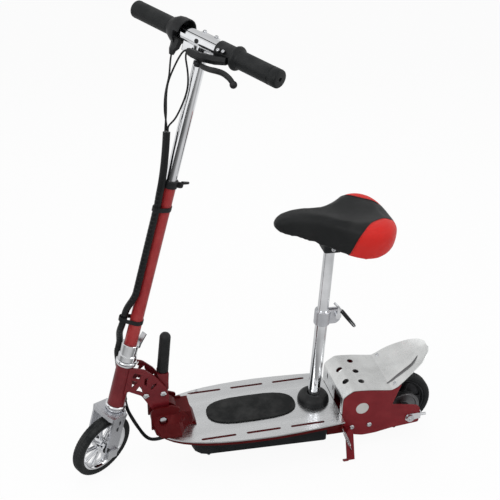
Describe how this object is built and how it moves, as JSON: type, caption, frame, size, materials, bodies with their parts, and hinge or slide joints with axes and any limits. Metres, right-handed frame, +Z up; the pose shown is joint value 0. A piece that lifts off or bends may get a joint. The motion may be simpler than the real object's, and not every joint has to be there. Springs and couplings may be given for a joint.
{
  "type": "folding electric scooter",
  "caption": "Folding electric scooter with a seat, turned handlebar, chain drive under a bright fender, and side stand down.",
  "frame": {"origin": "centre of the bounding box's bottom face, on the ground", "axes": "-X forward, +Y to the scooter's right side, +Z up"},
  "size_m": [0.7842, 0.3112, 0.9479],
  "materials": {
    "anchor_bolt": "bright plated",
    "band_lower": "black strap",
    "band_upper": "black strap",
    "bar_post": "polished tube and tee",
    "battery_case": "black moulded plastic",
    "battery_pack": "grey wrapped cells",
    "brake_band": "satin steel",
    "brake_lever": "black lever",
    "brake_perch": "black moulding",
    "cable_brake": "black cord",
    "cable_loop": "black sleeved leads",
    "cable_power": "black cord",
    "cable_sleeve": "black spiral wrapped sleeve",
    "cable_throttle": "black cord",
    "chain_adjuster_left": "bright plated",
    "chain_adjuster_right": "bright plated",
    "clamp_wing": "satin steel",
    "deck_plate": "silver sheet, lightly brushed",
    "deck_tub": "dark red gloss paint",
    "drive_chain": "oiled steel",
    "fender": "polished bright sheet",
    "fold_base": "dark red gloss paint",
    "fold_bolt": "bright plated",
    "fork": "silver paint",
    "front_axle": "black end blocks on a steel rod",
    "front_hub": "bright spoked wheel",
    "front_tyre": "black rubber",
    "grip_left": "soft black grip",
    "grip_pad": "black ribbed rubber",
    "grip_right": "soft black twist grip",
    "handlebar": "polished tube",
    "head_bracket": "dark red gloss paint",
    "head_cup_lower": "polished ring",
    "head_cup_upper": "polished ring",
    "latch_bolt": "bright plated",
    "latch_grip": "black ribbed grip",
    "latch_lever": "dark red gloss paint",
    "latch_spring": "bright spring wire",
    "motor": "satin steel can",
    "motor_pinion": "satin steel",
    "post_clamp": "dark satin ring",
    "rear_axle": "zinc plated",
    "rear_hub": "black spoked wheel",
    "rear_sprocket": "satin steel",
    "rear_tyre": "black rubber",
    "saddle": "black cover with a glossy red rear panel",
    "seat_clamp_lever": "bright lever with a black sleeve",
    "seat_collar": "cast, satin grey",
    "seat_dome": "black moulded cover",
    "seat_post": "polished tube with a black clamp",
    "seat_tube": "polished tube",
    "side_plate_left": "dark red gloss paint",
    "side_plate_right": "dark red gloss paint",
    "stand_leg": "dark red gloss paint",
    "stand_spring": "bright spring wire",
    "stem_cam_lever": "satin steel",
    "stem_collar": "polished clamp collar",
    "stem_tube": "dark red gloss paint",
    "throttle_housing": "black moulding"
  },
  "bodies": {
    "frame": {"deck_plate": "deck_plate", "grip_pad": "grip_pad", "deck_tub": "deck_tub", "battery_case": "battery_case", "battery_pack": "battery_pack", "fold_base": "fold_base", "fold_bolt": "fold_bolt", "side_plate_left": "side_plate_left", "side_plate_right": "side_plate_right", "fender": "fender", "motor": "motor", "drive_chain": "drive_chain", "brake_band": "brake_band", "rear_axle": "rear_axle", "chain_adjuster_left": "chain_adjuster_left", "chain_adjuster_right": "chain_adjuster_right", "seat_dome": "seat_dome", "seat_tube": "seat_tube", "seat_collar": "seat_collar", "stand_spring": "stand_spring", "cable_loop": "cable_loop"},
    "fold_head": {"head_bracket": "head_bracket", "head_cup_lower": "head_cup_lower", "head_cup_upper": "head_cup_upper", "latch_bolt": "latch_bolt", "anchor_bolt": "anchor_bolt", "latch_spring": "latch_spring"},
    "latch": {"latch_lever": "latch_lever", "latch_grip": "latch_grip"},
    "steering": {"fork": "fork", "front_axle": "front_axle", "stem_collar": "stem_collar", "stem_tube": "stem_tube", "post_clamp": "post_clamp", "band_upper": "band_upper", "band_lower": "band_lower", "cable_sleeve": "cable_sleeve", "cable_throttle": "cable_throttle", "cable_power": "cable_power", "cable_brake": "cable_brake"},
    "stem_cam": {"stem_cam_lever": "stem_cam_lever"},
    "wing": {"clamp_wing": "clamp_wing"},
    "front_wheel": {"front_tyre": "front_tyre", "front_hub": "front_hub"},
    "t_bar": {"bar_post": "bar_post", "handlebar": "handlebar", "grip_left": "grip_left", "brake_perch": "brake_perch", "throttle_housing": "throttle_housing"},
    "throttle": {"grip_right": "grip_right"},
    "brake": {"brake_lever": "brake_lever"},
    "seat": {"seat_post": "seat_post", "saddle": "saddle"},
    "seat_clamp": {"seat_clamp_lever": "seat_clamp_lever"},
    "rear_wheel": {"rear_tyre": "rear_tyre", "rear_hub": "rear_hub", "rear_sprocket": "rear_sprocket"},
    "pinion": {"motor_pinion": "motor_pinion"},
    "stand": {"stand_leg": "stand_leg"}
  },
  "joints": [
    {"name": "fold", "type": "hinge", "parent": "frame", "child": "fold_head", "pos_m": [-0.20487, 0.05658, 0.12696], "axis": [0, 0.9959, 0.0906], "range_deg": [0, 18], "deforming": ["cable_loop"]},
    {"name": "latch_release", "type": "hinge", "parent": "fold_head", "child": "latch", "pos_m": [-0.20187, 0.05115, 0.18671], "axis": [0, 0.9959, 0.0906], "range_deg": [0, 75], "deforming": ["latch_spring"]},
    {"name": "steer", "type": "hinge", "parent": "fold_head", "child": "steering", "pos_m": [-0.33707, 0.06809, 0.00048], "axis": [0.2419, -0.0879, 0.9663], "range_deg": [-95, 24], "deforming": ["cable_loop"]},
    {"name": "front_wheel_spin", "type": "hinge", "parent": "steering", "child": "front_wheel", "pos_m": [-0.33042, 0.05428, 0.06959], "axis": [-0.5635, 0.798, 0.2137], "continuous": true},
    {"name": "bar_height", "type": "slide", "parent": "steering", "child": "t_bar", "axis": [0.2419, -0.0879, 0.9663], "range_m": [-0.12, 0], "deforming": ["cable_throttle", "cable_power", "cable_brake"]},
    {"name": "stem_lever", "type": "hinge", "parent": "steering", "child": "stem_cam", "pos_m": [-0.24587, 0.05473, 0.29087], "axis": [-0.5635, 0.798, 0.2137], "range_deg": [0, 75]},
    {"name": "clamp_lever", "type": "hinge", "parent": "steering", "child": "wing", "pos_m": [-0.15761, 0.00509, 0.63832], "axis": [0.2429, 0.9697, 0.0274], "range_deg": [0, 70]},
    {"name": "throttle_twist", "type": "hinge", "parent": "t_bar", "child": "throttle", "pos_m": [-0.11257, -0.01351, 0.89721], "axis": [-0.5635, 0.798, 0.2137], "range_deg": [-70, 0], "stiffness_Nm_per_rad": 0.25, "springref_deg": 11.46},
    {"name": "brake_squeeze", "type": "hinge", "parent": "t_bar", "child": "brake", "pos_m": [-0.12994, -0.03686, 0.86839], "axis": [0.2419, -0.0879, 0.9663], "range_deg": [0, 18], "stiffness_Nm_per_rad": 1.2, "springref_deg": -14.32},
    {"name": "seat_height", "type": "slide", "parent": "frame", "child": "seat", "axis": [0.0349, -0.0906, 0.9953], "range_m": [-0.08, 0.04]},
    {"name": "seat_lever", "type": "hinge", "parent": "frame", "child": "seat_clamp", "pos_m": [0.16075, 0.03916, 0.31839], "axis": [0, 0.9959, 0.0906], "range_deg": [0, 45]},
    {"name": "rear_wheel_spin", "type": "hinge", "parent": "frame", "child": "rear_wheel", "pos_m": [0.32213, 0.06175, 0.07019], "axis": [0, 0.9959, 0.0906], "continuous": true},
    {"name": "pinion_spin", "type": "hinge", "parent": "frame", "child": "pinion", "pos_m": [0.21213, 0.05794, 0.11202], "axis": [0, 0.9959, 0.0906], "continuous": true},
    {"name": "kickstand", "type": "hinge", "parent": "frame", "child": "stand", "pos_m": [0.18113, -0.01588, 0.0571], "axis": [0, -0.9613, 0.2756], "range_deg": [0, 100], "deforming": ["stand_spring"]}
  ],
  "couplings": [
    {"joint": "pinion_spin", "follows": "rear_wheel_spin", "ratio": 4}
  ]
}
